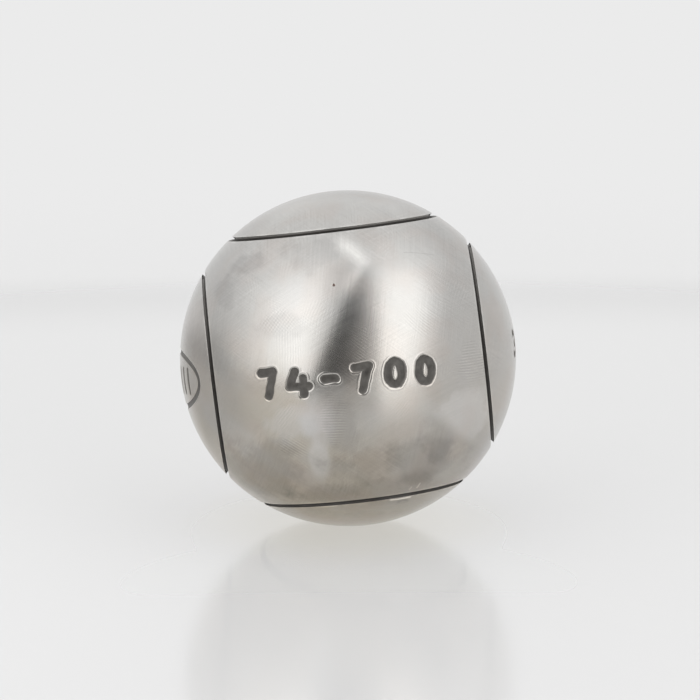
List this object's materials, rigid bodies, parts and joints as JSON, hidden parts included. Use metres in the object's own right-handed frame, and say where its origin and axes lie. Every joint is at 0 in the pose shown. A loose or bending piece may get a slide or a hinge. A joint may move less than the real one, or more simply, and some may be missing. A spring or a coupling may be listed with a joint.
{
  "type": "petanque boule",
  "caption": "Hollow steel ball with narrow turned grooves, thrown by hand towards a small target ball on open ground.",
  "frame": {"origin": "centre of the sphere", "axes": "+Z through the top cap, +X through the right cap, -Y through the middle of the plain patch that faces the camera; Y is also the axis of the weld"},
  "size_m": [0.074, 0.074, 0.074],
  "materials": {
    "shell_steel": "satin",
    "weld_steel": "satin"
  },
  "bodies": {
    "root": {"front_half_shell": "shell_steel", "rear_half_shell": "shell_steel", "weld_ring": "weld_steel"}
  },
  "joints": []
}
